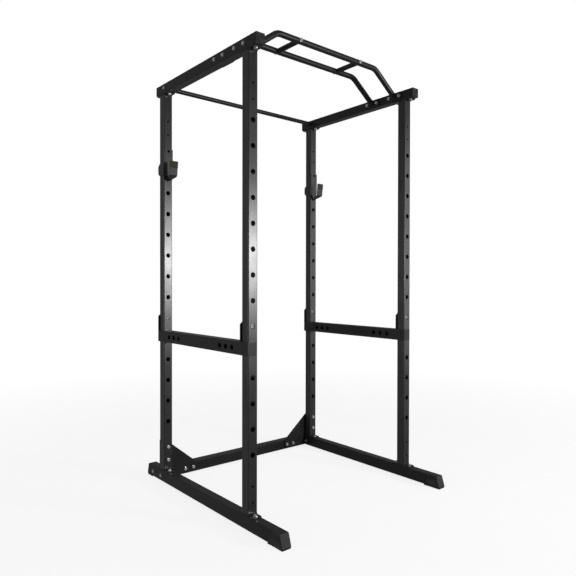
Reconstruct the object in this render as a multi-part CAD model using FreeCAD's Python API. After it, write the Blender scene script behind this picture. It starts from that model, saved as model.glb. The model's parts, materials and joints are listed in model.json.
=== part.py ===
import FreeCAD, Part
import math
import os

# Power cage: four punched uprights on two floor runners, two top rails, a raised
# two-bar pull-up station, J-hooks on the rear uprights and two pinned safety rails.
# Millimetres. +Z up, front at -Y, +X right. Origin on the floor, at the middle of
# the footprint.

# Main layout
POST_X = 540.0            # upright centre, left and right of the middle plane
REAR_Y = 436.0            # rear upright centre
FRONT_Y = -350.0          # front upright centre
TOP_RAIL_Z = 2137.0       # underside of the top rails
RUNNER_AHEAD = 262.0      # front foot cap's tip ahead of the front upright
RUNNER_PAST_BOLT = 75.0   # rear foot cap's tip behind the last cross-member bolt
TOP_RAIL_AHEAD = 34.0     # top rail's front end past its first head bolt
TOP_RAIL_BEHIND = 21.0    # and its rear end past its last one

# Steel sections
TUBE = 50.0               # side of the square uprights and top rails
BASE_H = 60.0             # height of the runners and of the cross-member
WALL = 2.5
CORNER_R = 4.0
PLATE = 5.0               # foot, head, end and gusset plates
HOOK_PLATE = 6.0          # J-hook and safety-rail plates
HALF = TUBE / 2

# Floor and foot caps
SOLE = 5.0                # thickness of the sole under each foot cap
FRONT_CAP_LEN = 81.0      # from the tip to the end of the runner tube
FRONT_SOLE_LEN = 100.0
FRONT_CAP_SLOPE = 18.0    # how far the nose leans back at its top
REAR_CAP_LEN = 37.0
REAR_SOLE_LEN = 56.0
REAR_CAP_SLOPE = 13.0
SPIGOT_GAP = 0.5          # between a cap's spigot and the inside of its tube
FRONT_SPIGOT_LEN = 24.0
REAR_SPIGOT_LEN = 20.0
RAIL_CAP_T = 3.0
RAIL_SPIGOT_LEN = 8.0

# Rows of holes in the uprights
HOLE_D = 25.0
HOLE_TOP_DROP = 317.0     # from the top rails down to the first large hole
HOLE_PITCH = 114.0
HOLE_LOW_LIMIT = 300.0    # no large hole lies below this height
SMALL_HOLE_FOOT = 55.0    # lowest small hole above the foot plate
SMALL_HOLE_RISE = 92.0    # third small hole above the first large one
SMALL_HOLE_PITCH = 72.0
HOOK_ROW = 0              # hole that each J-hook hangs from, counted from the top
PIN_ROW = 8               # hole that holds the safety rails

# Fasteners, all M10 flange bolts
BOLT_D = 10.0
BOLT_GAP = 0.3            # radial room round a bolt
HEAD_D = 19.0
HEAD_AF = 16.0
HEAD_H = 6.5
HEAD_FLANGE = 1.5
NUT_H = 8.0
BOLT_END = 2.0            # thread that shows past a nut
PLATE_BOLT_OUT = 19.0     # foot and head bolts from the face of the upright
PLATE_MARGIN = 18.0       # from a bolt to the end of its plate

# Rear cross-member and gussets
CROSS_BOLT_OUT = 21.0     # flange bolts from the face of the cross-member
GUSSET_REACH = 205.0      # gusset's foot, inwards from the upright's centre
GUSSET_SHOULDER = 180.0   # lower end of its slope
GUSSET_BOLT_REACH = (187.0, 135.0)
GUSSET_EDGE = 31.0        # from the top bolt to the gusset's top

# Pull-up station and rear crossbar
BAR_D = 30.0
BAR_WALL = 3.0
BAR_RISE = 121.0          # level middle of the bars above the middle of the rails
BAR_FRONT_BACK = 49.0     # front bar behind the front uprights' centres
BAR_PITCH = 166.0         # between the two bars
BAR_KNEE_IN = 195.0       # knee of a bar, inwards from the upright's centre
BAR_BEND_R = 70.0
BAR_BOLT = 36.0
BAR_PLATE_HALF = 52.0
BAR_PLATE_MARGIN = 3.0    # end plate's edge from the rail's edge
GRIP_X = 210.0
GRIP_D = 26.0
GRIP_GAP = 0.1
GRIP_END = 45.0           # solid end of a grip, from the bar's centre
GRIP_TAP = 42.0
CROSSBAR_AHEAD = 28.0     # crossbar in front of the rear uprights' centres
CROSSBAR_D = 25.0
CROSSBAR_WALL = 2.0
CROSSBAR_PLUG_LEN = 25.0

# J-hooks, with heights below the peg's axis
MOVE_GAP = 0.5            # between an upright and anything that lifts off it
PEG_GAP = 0.4             # radial room for pegs and pins in the upright's holes
PEG_RECESS_D = 15.0
PEG_OUT = 5.0             # peg end behind the upright
HOOK_HEAD = 12.0          # plate above the axis
HOOK_SHOULDER = 115.0
HOOK_TIP = 166.0
EAR_LOW = 132.0
EAR_HIGH = 67.0
EAR_CUT = 14.0
EAR_REACH = 5.0           # ear behind the upright
CRADLE_MARGIN = 3.0       # cradle narrower than the upright, each side
CRADLE_DEPTH = 50.0
SEAT_ROOT = 161.0         # underside of the seat at the back plate
SEAT_ROOT_HALF = 8.0
SEAT_DROP = 140.0         # underside of the seat at the lip's foot
FOLD_R = 3.0              # inside of a folded plate
LIP_TOP = 65.0
LIP_LEAN = 8.0            # lip's top ahead of its foot
PAD_LOW = 99.0
PAD_T = 2.0

# Safety rails, with heights measured from the pins' axis
RAIL_DROP = 130.0         # rail's underside below the pin
RAIL_H = 60.0
PIN_PLATE_RISE = 20.0
PIN_PLATE_CUT = 12.0
PIN_HEAD_D = 34.0
PIN_HEAD_T = 10.0
PIN_RECESS = 2.0          # pin's tip behind the upright's front face
LIP_REACH = 40.0          # how far the front lip covers the upright's front face
SLOT_D = 25.0
SLOT_FIRST = 95.0         # first rail hole from the upright centre
SLOT_PITCH = 51.0
SLOT_COUNT = 3

# Places that follow from the sizes above
RUNNER_FRONT = FRONT_Y - RUNNER_AHEAD
FRONT_CAP_SEAM = RUNNER_FRONT + FRONT_CAP_LEN
BASE_TOP_Z = SOLE + BASE_H
BASE_BOLT_Z = SOLE + BASE_H / 2
POST_LOW_Z = BASE_TOP_Z + PLATE
POST_HIGH_Z = TOP_RAIL_Z - PLATE
RAIL_MID_Z = TOP_RAIL_Z + HALF
HOLE_TOP_Z = TOP_RAIL_Z - HOLE_TOP_DROP
HOLE_COUNT = int((HOLE_TOP_Z - HOLE_LOW_LIMIT) // HOLE_PITCH) + 1
GUSSET_HOLE_Z = (POST_LOW_Z + SMALL_HOLE_FOOT, POST_LOW_Z + SMALL_HOLE_FOOT + SMALL_HOLE_PITCH)
UPPER_HOLE_Z = (HOLE_TOP_Z + SMALL_HOLE_RISE, HOLE_TOP_Z + SMALL_HOLE_RISE + SMALL_HOLE_PITCH)
HOOK_Z = HOLE_TOP_Z - HOOK_ROW * HOLE_PITCH
PIN_Z = HOLE_TOP_Z - PIN_ROW * HOLE_PITCH
PEG_D = HOLE_D - 2 * PEG_GAP
FOOT_BOLT = HALF + PLATE_BOLT_OUT
FOOT_PLATE_HALF = FOOT_BOLT + PLATE_MARGIN
TOP_RAIL_FRONT = FRONT_Y - FOOT_BOLT - TOP_RAIL_AHEAD
TOP_RAIL_REAR = REAR_Y + FOOT_BOLT + TOP_RAIL_BEHIND
CROSS_Y = REAR_Y + HALF + PLATE + HALF
CROSS_BOLT = HALF + CROSS_BOLT_OUT
CROSS_FLANGE_HALF = CROSS_BOLT + PLATE_MARGIN
RUNNER_REAR = CROSS_Y + CROSS_BOLT + RUNNER_PAST_BOLT
REAR_CAP_SEAM = RUNNER_REAR - REAR_CAP_LEN
GUSSET_BOLT_X = tuple(POST_X - reach for reach in GUSSET_BOLT_REACH)
BAR_Z = RAIL_MID_Z + BAR_RISE
BAR_FRONT_Y = FRONT_Y + BAR_FRONT_BACK
BAR_REAR_Y = BAR_FRONT_Y + BAR_PITCH
BAR_KNEE_X = POST_X - BAR_KNEE_IN
CROSSBAR_Y = REAR_Y - CROSSBAR_AHEAD
CRADLE_HALF = HALF - CRADLE_MARGIN
HOOK_BACK_Y = REAR_Y - HALF - MOVE_GAP
HOOK_FACE_Y = HOOK_BACK_Y - HOOK_PLATE
LIP_Y = HOOK_FACE_Y - CRADLE_DEPTH
LIP_SLOPE = LIP_LEAN / (SEAT_DROP - LIP_TOP)
LIP_WALL = HOOK_PLATE * math.sqrt(1.0 + LIP_SLOPE ** 2)
RAIL_LOW_Z = PIN_Z - RAIL_DROP
RAIL_TOP_Z = RAIL_LOW_Z + RAIL_H
PIN_PLATE_TOP_Z = PIN_Z + PIN_PLATE_RISE

SIDES = (("left", -1.0), ("right", 1.0))
V = FreeCAD.Vector


def block(x0, x1, y0, y1, z0, z1):
    """Box between two corners, given as low and high values on each axis."""
    return Part.makeBox(x1 - x0, y1 - y0, z1 - z0, V(x0, y0, z0))


def rod(radius, start, end):
    """Round bar from one point to another."""
    axis = V(*end) - V(*start)
    return Part.makeCylinder(radius, axis.Length, V(*start), axis)


def round_along(shape, direction, radius, beyond=None):
    """Round the straight edges that run along one axis, or only those further out than |y|."""
    edges = []
    for edge in shape.Edges:
        if edge.Curve.TypeId != "Part::GeomLine":
            continue
        if beyond is not None and abs(edge.CenterOfMass.y) <= abs(beyond):
            continue
        tangent = edge.tangentAt(edge.FirstParameter)
        if abs(abs(tangent.dot(direction)) - 1.0) < 1e-6:
            edges.append(edge)
    return shape.makeFillet(radius, edges)


def round_fold(shape, y, z, radius):
    """Round the one edge that runs along X at the given y and z."""
    edges = [edge for edge in shape.Edges
             if abs(edge.CenterOfMass.y - y) < 1e-3 and abs(edge.CenterOfMass.z - z) < 1e-3
             and edge.BoundBox.XLength > 1.0]
    return shape.makeFillet(radius, edges)


def box_tube(x0, x1, y0, y1, z0, z1, along):
    """Rectangular tube with rounded corners, open at both ends."""
    outer = round_along(block(x0, x1, y0, y1, z0, z1), along, CORNER_R)
    wx = WALL * (1.0 - abs(along.x))
    wy = WALL * (1.0 - abs(along.y))
    wz = WALL * (1.0 - abs(along.z))
    inner = block(x0 + wx, x1 - wx, y0 + wy, y1 - wy, z0 + wz, z1 - wz)
    return outer.cut(round_along(inner, along, CORNER_R - WALL))


def prism_x(points, x0, x1):
    """Flat outline in the YZ plane, given as (y, z), made solid from x0 to x1."""
    corners = [V(x0, y, z) for y, z in points]
    face = Part.Face(Part.makePolygon(corners + corners[:1]))
    return face.extrude(V(x1 - x0, 0, 0))


def prism_y(points, y0, y1):
    """Flat outline in the XZ plane, given as (x, z), made solid from y0 to y1."""
    corners = [V(x, y0, z) for x, z in points]
    face = Part.Face(Part.makePolygon(corners + corners[:1]))
    return face.extrude(V(0, y1 - y0, 0))


def hexagon(across, centre, axis, height):
    """Six-sided prism across its flats, standing on a point and facing along an axis."""
    radius = across / math.sqrt(3.0)
    points = []
    for k in range(7):
        angle = math.radians(60.0 * k)
        points.append(V(radius * math.cos(angle), radius * math.sin(angle), 0))
    solid = Part.Face(Part.makePolygon(points)).extrude(V(0, 0, height))
    solid.Placement = FreeCAD.Placement(V(*centre), FreeCAD.Rotation(V(0, 0, 1), V(*axis)))
    return solid


def step_along(point, axis, distance):
    """Point moved along a unit axis."""
    return tuple(p + a * distance for p, a in zip(point, axis))


def bolt(seat, axis, length):
    """Flange bolt: its head sits on `seat` and its shank runs along `axis`."""
    back = tuple(-a for a in axis)
    flange = rod(HEAD_D / 2, seat, step_along(seat, back, HEAD_FLANGE))
    crown = hexagon(HEAD_AF, seat, back, HEAD_H)
    shank = rod(BOLT_D / 2, seat, step_along(seat, axis, length))
    return flange.fuse([crown, shank]).removeSplitter()


def nut(seat, axis):
    """Flange nut standing on `seat`, open for its bolt."""
    body = hexagon(HEAD_AF, seat, axis, NUT_H)
    flange = rod(HEAD_D / 2, seat, step_along(seat, axis, HEAD_FLANGE))
    bore = rod(BOLT_D / 2 + 0.05, step_along(seat, axis, -1.0), step_along(seat, axis, NUT_H + 1.0))
    return body.fuse(flange).cut(bore).removeSplitter()


def bolt_hole(start, end):
    """Clearance hole for a bolt."""
    return rod(BOLT_D / 2 + BOLT_GAP, start, end)


def post_centres():
    """Name and centre of each upright."""
    rows = []
    for side, sign in SIDES:
        rows.append(("front_" + side, sign * POST_X, FRONT_Y))
        rows.append(("rear_" + side, sign * POST_X, REAR_Y))
    return rows


def foot_bolt_points():
    """Plan position of each foot and head bolt."""
    points = []
    for _, x, y in post_centres():
        points.append((x, y - FOOT_BOLT))
        points.append((x, y + FOOT_BOLT))
    return points


def bar_bolt_rows():
    """Depth of each bolt that holds a pull-up bar to a top rail."""
    rows = []
    for y in (BAR_FRONT_Y, BAR_REAR_Y):
        rows.append(y - BAR_BOLT)
        rows.append(y + BAR_BOLT)
    return rows


def make_upright(x, y):
    """Square upright with its row of large holes and four small holes."""
    post = box_tube(x - HALF, x + HALF, y - HALF, y + HALF, POST_LOW_Z, POST_HIGH_Z, V(0, 0, 1))
    cuts = []
    for k in range(HOLE_COUNT):
        z = HOLE_TOP_Z - k * HOLE_PITCH
        cuts.append(rod(HOLE_D / 2, (x, y - TUBE, z), (x, y + TUBE, z)))
    for z in GUSSET_HOLE_Z + UPPER_HOLE_Z:
        cuts.append(bolt_hole((x, y - TUBE, z), (x, y + TUBE, z)))
    return post.cut(cuts)


def make_end_plates(z0):
    """Plate on the end of every upright, drilled in front of it and behind it."""
    plates = []
    for _, x, y in post_centres():
        plate = block(x - HALF, x + HALF, y - FOOT_PLATE_HALF, y + FOOT_PLATE_HALF, z0, z0 + PLATE)
        plate = round_along(plate, V(0, 0, 1), 2 * CORNER_R)
        holes = [bolt_hole((x, y + s * FOOT_BOLT, z0 - 1), (x, y + s * FOOT_BOLT, z0 + PLATE + 1))
                 for s in (-1.0, 1.0)]
        plates.append(plate.cut(holes))
    return Part.makeCompound(plates)


def make_runner(x):
    """Floor runner, drilled for the foot bolts and the cross-member bolts."""
    tube = box_tube(x - HALF, x + HALF, FRONT_CAP_SEAM, REAR_CAP_SEAM, SOLE, BASE_TOP_Z, V(0, 1, 0))
    cuts = []
    for px, py in foot_bolt_points():
        if px * x > 0:
            cuts.append(bolt_hole((px, py, BASE_BOLT_Z), (px, py, BASE_TOP_Z + 1)))
    for s in (-1.0, 1.0):
        y = CROSS_Y + s * CROSS_BOLT
        cuts.append(bolt_hole((x - TUBE, y, BASE_BOLT_Z), (x + TUBE, y, BASE_BOLT_Z)))
    return tube.cut(cuts)


def make_spigot(x, y0, y1, z0, height):
    """Plug that fills the mouth of a tube, with a small gap all round."""
    inset = WALL + SPIGOT_GAP
    plug = block(x - HALF + inset, x + HALF - inset, y0, y1, z0 + inset, z0 + height - inset)
    return plug


def make_front_foot(x):
    """Front foot cap: sloped nose, sole that reaches back under the runner, and spigot."""
    sole_end = RUNNER_FRONT + FRONT_SOLE_LEN
    outline = [(FRONT_CAP_SEAM, BASE_TOP_Z), (RUNNER_FRONT + FRONT_CAP_SLOPE, BASE_TOP_Z),
               (RUNNER_FRONT, 2 * SOLE), (RUNNER_FRONT + 3.0, 0.0), (sole_end, 0.0),
               (sole_end, SOLE), (FRONT_CAP_SEAM, SOLE)]
    nose = round_along(prism_x(outline, x - HALF, x + HALF), V(1, 0, 0), 1.5, FRONT_CAP_SEAM)
    spigot = make_spigot(x, FRONT_CAP_SEAM - 1.0, FRONT_CAP_SEAM + FRONT_SPIGOT_LEN, SOLE, BASE_H)
    return nose.fuse(spigot).removeSplitter()


def make_rear_foot(x):
    """Rear foot cap: short sloped nose, sole and spigot."""
    sole_end = RUNNER_REAR - REAR_SOLE_LEN
    outline = [(REAR_CAP_SEAM, BASE_TOP_Z), (RUNNER_REAR - REAR_CAP_SLOPE, BASE_TOP_Z),
               (RUNNER_REAR, 2 * SOLE), (RUNNER_REAR - 3.0, 0.0), (sole_end, 0.0),
               (sole_end, SOLE), (REAR_CAP_SEAM, SOLE)]
    nose = round_along(prism_x(outline, x - HALF, x + HALF), V(1, 0, 0), 1.5, REAR_CAP_SEAM)
    spigot = make_spigot(x, REAR_CAP_SEAM - REAR_SPIGOT_LEN, REAR_CAP_SEAM + 1.0, SOLE, BASE_H)
    return nose.fuse(spigot).removeSplitter()


def make_cross_member():
    """Rear base tube between the two runners, drilled for the gusset bolts."""
    end = POST_X - HALF - PLATE
    tube = box_tube(-end, end, CROSS_Y - HALF, CROSS_Y + HALF, SOLE, BASE_TOP_Z, V(1, 0, 0))
    cuts = []
    for _, sign in SIDES:
        for bx in GUSSET_BOLT_X:
            x = sign * bx
            cuts.append(bolt_hole((x, CROSS_Y - TUBE, BASE_BOLT_Z), (x, CROSS_Y + TUBE, BASE_BOLT_Z)))
    return tube.cut(cuts)


def make_cross_flanges():
    """Plate on each end of the cross-member, bolted to the inside of a runner."""
    plates = []
    for _, sign in SIDES:
        inner = sign * (POST_X - HALF - PLATE)
        outer = sign * (POST_X - HALF)
        x0, x1 = sorted((inner, outer))
        plate = block(x0, x1, CROSS_Y - CROSS_FLANGE_HALF, CROSS_Y + CROSS_FLANGE_HALF,
                      SOLE + PLATE, BASE_TOP_Z - PLATE)
        plate = round_along(plate, V(1, 0, 0), 6.0)
        holes = [bolt_hole((x0 - 1, CROSS_Y + s * CROSS_BOLT, BASE_BOLT_Z),
                           (x1 + 1, CROSS_Y + s * CROSS_BOLT, BASE_BOLT_Z)) for s in (-1.0, 1.0)]
        plates.append(plate.cut(holes))
    return Part.makeCompound(plates)


def make_gusset(sign):
    """Corner plate between a rear upright and the cross-member."""
    inner = POST_X - HALF - PLATE - MOVE_GAP
    outer = POST_X + HALF - 1.0
    foot_top = POST_LOW_Z + 1.0
    top = GUSSET_HOLE_Z[1] + GUSSET_EDGE
    toe = POST_X - GUSSET_REACH
    outline = [(toe, SOLE + 3.0), (inner, SOLE + 3.0), (inner, foot_top), (outer, foot_top),
               (outer, top), (POST_X - 5.0, top), (POST_X - GUSSET_SHOULDER, BASE_TOP_Z + 20.0),
               (toe, BASE_TOP_Z - 3.0)]
    y0 = REAR_Y + HALF
    plate = prism_y([(sign * x, z) for x, z in outline], y0, y0 + PLATE)
    cuts = [bolt_hole((sign * x, y0 - 1, BASE_BOLT_Z), (sign * x, y0 + PLATE + 1, BASE_BOLT_Z))
            for x in GUSSET_BOLT_X]
    for z in GUSSET_HOLE_Z:
        cuts.append(bolt_hole((sign * POST_X, y0 - 1, z), (sign * POST_X, y0 + PLATE + 1, z)))
    return plate.cut(cuts)


def make_top_rail(x):
    """Top rail, drilled for its head bolts, the pull-up plates and the crossbar."""
    tube = box_tube(x - HALF, x + HALF, TOP_RAIL_FRONT + RAIL_CAP_T, TOP_RAIL_REAR - RAIL_CAP_T,
                    TOP_RAIL_Z, TOP_RAIL_Z + TUBE, V(0, 1, 0))
    cuts = []
    for px, py in foot_bolt_points():
        if px * x > 0:
            cuts.append(bolt_hole((px, py, TOP_RAIL_Z - 1), (px, py, RAIL_MID_Z)))
    for y in bar_bolt_rows() + [CROSSBAR_Y]:
        cuts.append(bolt_hole((x - TUBE, y, RAIL_MID_Z), (x + TUBE, y, RAIL_MID_Z)))
    return tube.cut(cuts)


def make_rail_caps():
    """Flat plug in each end of both top rails."""
    caps = []
    for _, sign in SIDES:
        x = sign * POST_X
        for y, out in ((TOP_RAIL_FRONT, -1.0), (TOP_RAIL_REAR, 1.0)):
            seam = y - out * RAIL_CAP_T
            y0, y1 = sorted((y, seam))
            head = block(x - HALF, x + HALF, y0, y1, TOP_RAIL_Z, TOP_RAIL_Z + TUBE)
            head = round_along(head, V(0, 1, 0), CORNER_R)
            y0, y1 = sorted((seam + out, seam - out * RAIL_SPIGOT_LEN))
            plug = make_spigot(x, y0, y1, TOP_RAIL_Z, TUBE)
            caps.append(head.fuse(plug).removeSplitter())
    return Part.makeCompound(caps)


def make_bar_path(y):
    """Centre line of a pull-up bar: level in the middle, falling to the rails."""
    end = V(POST_X - HALF + 20.0, y, 0)
    rise = BAR_Z - RAIL_MID_Z
    run = POST_X - HALF - PLATE - BAR_KNEE_X
    slope = math.atan2(rise, run)
    end.z = BAR_Z - (end.x - BAR_KNEE_X) * math.tan(slope)
    back = BAR_BEND_R * math.tan(slope / 2)
    level = V(BAR_KNEE_X - back, y, BAR_Z)
    fall = V(BAR_KNEE_X + back * math.cos(slope), y, BAR_Z - back * math.sin(slope))
    mid = V(level.x + BAR_BEND_R * math.sin(slope / 2), y,
            BAR_Z - BAR_BEND_R * (1 - math.cos(slope / 2)))
    flip = [V(-p.x, p.y, p.z) for p in (end, fall, mid, level)]
    edges = [Part.LineSegment(flip[0], flip[1]).toShape(),
             Part.Arc(flip[1], flip[2], flip[3]).toShape(),
             Part.LineSegment(flip[3], level).toShape(),
             Part.Arc(level, mid, fall).toShape(),
             Part.LineSegment(fall, end).toShape()]
    return Part.Wire(edges), flip[0], flip[1] - flip[0]


def make_pull_up_bar(y):
    """Bent round tube from rail to rail, drilled for the cross-grip bolts."""
    path, start, heading = make_bar_path(y)
    skins = []
    for radius in (BAR_D / 2, BAR_D / 2 - BAR_WALL):
        ring = Part.Wire(Part.makeCircle(radius, start, heading))
        skins.append(path.makePipeShell([ring], True, True))
    inner_x = POST_X - HALF - PLATE
    keep = block(-inner_x, inner_x, y - TUBE, y + TUBE, TOP_RAIL_Z, BAR_Z + TUBE)
    holes = [bolt_hole((s * GRIP_X, y - TUBE, BAR_Z), (s * GRIP_X, y + TUBE, BAR_Z))
             for s in (-1.0, 1.0)]
    return skins[0].cut(skins[1]).common(keep).cut(holes)


def make_bar_plates():
    """Plate on each end of both pull-up bars, against the inside of a top rail."""
    plates = []
    for _, sign in SIDES:
        x0, x1 = sorted((sign * (POST_X - HALF - PLATE), sign * (POST_X - HALF)))
        for y in (BAR_FRONT_Y, BAR_REAR_Y):
            plate = block(x0, x1, y - BAR_PLATE_HALF, y + BAR_PLATE_HALF,
                          TOP_RAIL_Z + BAR_PLATE_MARGIN, TOP_RAIL_Z + TUBE - BAR_PLATE_MARGIN)
            plate = round_along(plate, V(1, 0, 0), 8.0)
            holes = [bolt_hole((x0 - 1, y + s * BAR_BOLT, RAIL_MID_Z),
                               (x1 + 1, y + s * BAR_BOLT, RAIL_MID_Z)) for s in (-1.0, 1.0)]
            plates.append(plate.cut(holes))
    return Part.makeCompound(plates)


def make_cross_grip(x):
    """Short grip between the two pull-up bars, hollow with solid tapped ends."""
    y0 = BAR_FRONT_Y
    y1 = BAR_REAR_Y
    tube = rod(GRIP_D / 2, (x, y0, BAR_Z), (x, y1, BAR_Z))
    hollow = rod(GRIP_D / 2 - BAR_WALL, (x, y0 + GRIP_END, BAR_Z), (x, y1 - GRIP_END, BAR_Z))
    cuts = [hollow]
    for y in (y0, y1):
        cuts.append(rod(BAR_D / 2 + GRIP_GAP, (x - TUBE, y, BAR_Z), (x + TUBE, y, BAR_Z)))
        cuts.append(rod(BOLT_D / 2 + GRIP_GAP, (x, y - GRIP_TAP, BAR_Z), (x, y + GRIP_TAP, BAR_Z)))
    return tube.cut(cuts)


def make_crossbar():
    """Light round bar between the top rails, just ahead of the rear uprights."""
    end = POST_X - HALF
    start = (-end, CROSSBAR_Y, RAIL_MID_Z)
    stop = (end, CROSSBAR_Y, RAIL_MID_Z)
    return rod(CROSSBAR_D / 2, start, stop).cut(rod(CROSSBAR_D / 2 - CROSSBAR_WALL, start, stop))


def make_crossbar_plugs():
    """Tapped plug in each end of the crossbar."""
    end = POST_X - HALF
    plugs = []
    for _, sign in SIDES:
        outer = (sign * end, CROSSBAR_Y, RAIL_MID_Z)
        inner = (sign * (end - CROSSBAR_PLUG_LEN), CROSSBAR_Y, RAIL_MID_Z)
        plug = rod(CROSSBAR_D / 2 - CROSSBAR_WALL - 0.1, inner, outer)
        plugs.append(plug.cut(rod(BOLT_D / 2 + 0.1, inner, outer)))
    return Part.makeCompound(plugs)


def make_post_bolts():
    """Bolts through the foot and head plates of every upright."""
    parts = []
    for x, y in foot_bolt_points():
        parts.append(bolt((x, y, POST_LOW_Z), (0.0, 0.0, -1.0), 18.0))
        parts.append(bolt((x, y, POST_HIGH_Z), (0.0, 0.0, 1.0), 18.0))
    return Part.makeCompound(parts)


def make_post_nuts():
    """Weld nuts inside the runners and top rails, one for each plate bolt."""
    parts = []
    for x, y in foot_bolt_points():
        parts.append(nut((x, y, SOLE + BASE_H - WALL), (0.0, 0.0, -1.0)))
        parts.append(nut((x, y, TOP_RAIL_Z + WALL), (0.0, 0.0, 1.0)))
    return Part.makeCompound(parts)


def make_bar_bolts():
    """Bolts through the top rails that hold the pull-up bar plates."""
    parts = []
    for _, sign in SIDES:
        for y in bar_bolt_rows():
            seat = (sign * (POST_X + HALF), y, RAIL_MID_Z)
            parts.append(bolt(seat, (-sign, 0.0, 0.0), TUBE + PLATE + NUT_H + BOLT_END))
    return Part.makeCompound(parts)


def make_bar_nuts():
    """Nuts on the inner face of the pull-up bar plates."""
    parts = []
    for _, sign in SIDES:
        for y in bar_bolt_rows():
            parts.append(nut((sign * (POST_X - HALF - PLATE), y, RAIL_MID_Z), (-sign, 0.0, 0.0)))
    return Part.makeCompound(parts)


def make_grip_bolts():
    """Bolt through each pull-up bar into the end of each cross grip."""
    parts = []
    for _, sign in SIDES:
        for y, turn in ((BAR_FRONT_Y, 1.0), (BAR_REAR_Y, -1.0)):
            seat = (sign * GRIP_X, y - turn * BAR_D / 2, BAR_Z)
            parts.append(bolt(seat, (0.0, turn, 0.0), BAR_D / 2 + GRIP_TAP - 3.0))
    return Part.makeCompound(parts)


def make_crossbar_bolts():
    """Bolt through each top rail into the end of the crossbar."""
    parts = []
    for _, sign in SIDES:
        seat = (sign * (POST_X + HALF), CROSSBAR_Y, RAIL_MID_Z)
        parts.append(bolt(seat, (-sign, 0.0, 0.0), TUBE + CROSSBAR_PLUG_LEN - 3.0))
    return Part.makeCompound(parts)


def make_cross_member_bolts():
    """Bolts through the runners that hold the cross-member."""
    parts = []
    for _, sign in SIDES:
        for s in (-1.0, 1.0):
            seat = (sign * (POST_X + HALF), CROSS_Y + s * CROSS_BOLT, BASE_BOLT_Z)
            parts.append(bolt(seat, (-sign, 0.0, 0.0), TUBE + PLATE + NUT_H + BOLT_END))
    return Part.makeCompound(parts)


def make_cross_member_nuts():
    """Nuts on the inner face of the cross-member flanges."""
    parts = []
    for _, sign in SIDES:
        for s in (-1.0, 1.0):
            seat = (sign * (POST_X - HALF - PLATE), CROSS_Y + s * CROSS_BOLT, BASE_BOLT_Z)
            parts.append(nut(seat, (-sign, 0.0, 0.0)))
    return Part.makeCompound(parts)


def make_gusset_bolts():
    """Bolts through the gussets: two into each upright, two into the cross-member."""
    parts = []
    for _, sign in SIDES:
        for z in GUSSET_HOLE_Z:
            seat = (sign * POST_X, REAR_Y - HALF, z)
            parts.append(bolt(seat, (0.0, 1.0, 0.0), TUBE + PLATE + NUT_H + BOLT_END))
        for x in GUSSET_BOLT_X:
            seat = (sign * x, REAR_Y + HALF, BASE_BOLT_Z)
            parts.append(bolt(seat, (0.0, 1.0, 0.0), TUBE + PLATE + NUT_H + BOLT_END))
    return Part.makeCompound(parts)


def make_gusset_nuts():
    """Nuts behind the gussets and behind the cross-member."""
    parts = []
    for _, sign in SIDES:
        for z in GUSSET_HOLE_Z:
            parts.append(nut((sign * POST_X, REAR_Y + HALF + PLATE, z), (0.0, 1.0, 0.0)))
        for x in GUSSET_BOLT_X:
            parts.append(nut((sign * x, CROSS_Y + HALF, BASE_BOLT_Z), (0.0, 1.0, 0.0)))
    return Part.makeCompound(parts)


def make_hook_plate(x):
    """J-hook back plate with a pointed foot and the ear that grips the upright's side."""
    y1 = HOOK_BACK_Y
    y0 = HOOK_FACE_Y
    top = HOOK_Z + HOOK_HEAD
    shoulder = HOOK_Z - HOOK_SHOULDER
    tip = HOOK_Z - HOOK_TIP
    outline = [(x - HALF, top), (x - HALF, shoulder), (x - 5.0, tip),
               (x + 5.0, tip), (x + HALF, shoulder), (x + HALF, top)]
    plate = round_along(prism_y(outline, y0, y1), V(0, 1, 0), 3.0)
    ear_x1 = x - HALF - MOVE_GAP
    ear_x0 = ear_x1 - HOOK_PLATE
    rear = REAR_Y + HALF + EAR_REACH
    low = HOOK_Z - EAR_LOW
    high = HOOK_Z - EAR_HIGH
    ear = prism_x([(y0, low), (rear - EAR_CUT, low), (rear, low + EAR_CUT),
                   (rear, high - EAR_CUT), (rear - EAR_CUT, high), (y0, high)], ear_x0, ear_x1)
    bridge = block(ear_x0, x - HALF + 8.0, y0, y1, low, high)
    hole = rod(PEG_D / 2 + 0.05, (x, y0 - 1, HOOK_Z), (x, y1 + 1, HOOK_Z))
    return plate.fuse([ear, bridge]).cut(hole).removeSplitter()


def lip_outer(drop):
    """Y of the lip's outer face at a depth below the peg's axis."""
    return LIP_Y - HOOK_PLATE - (SEAT_DROP - drop) * LIP_SLOPE


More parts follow.
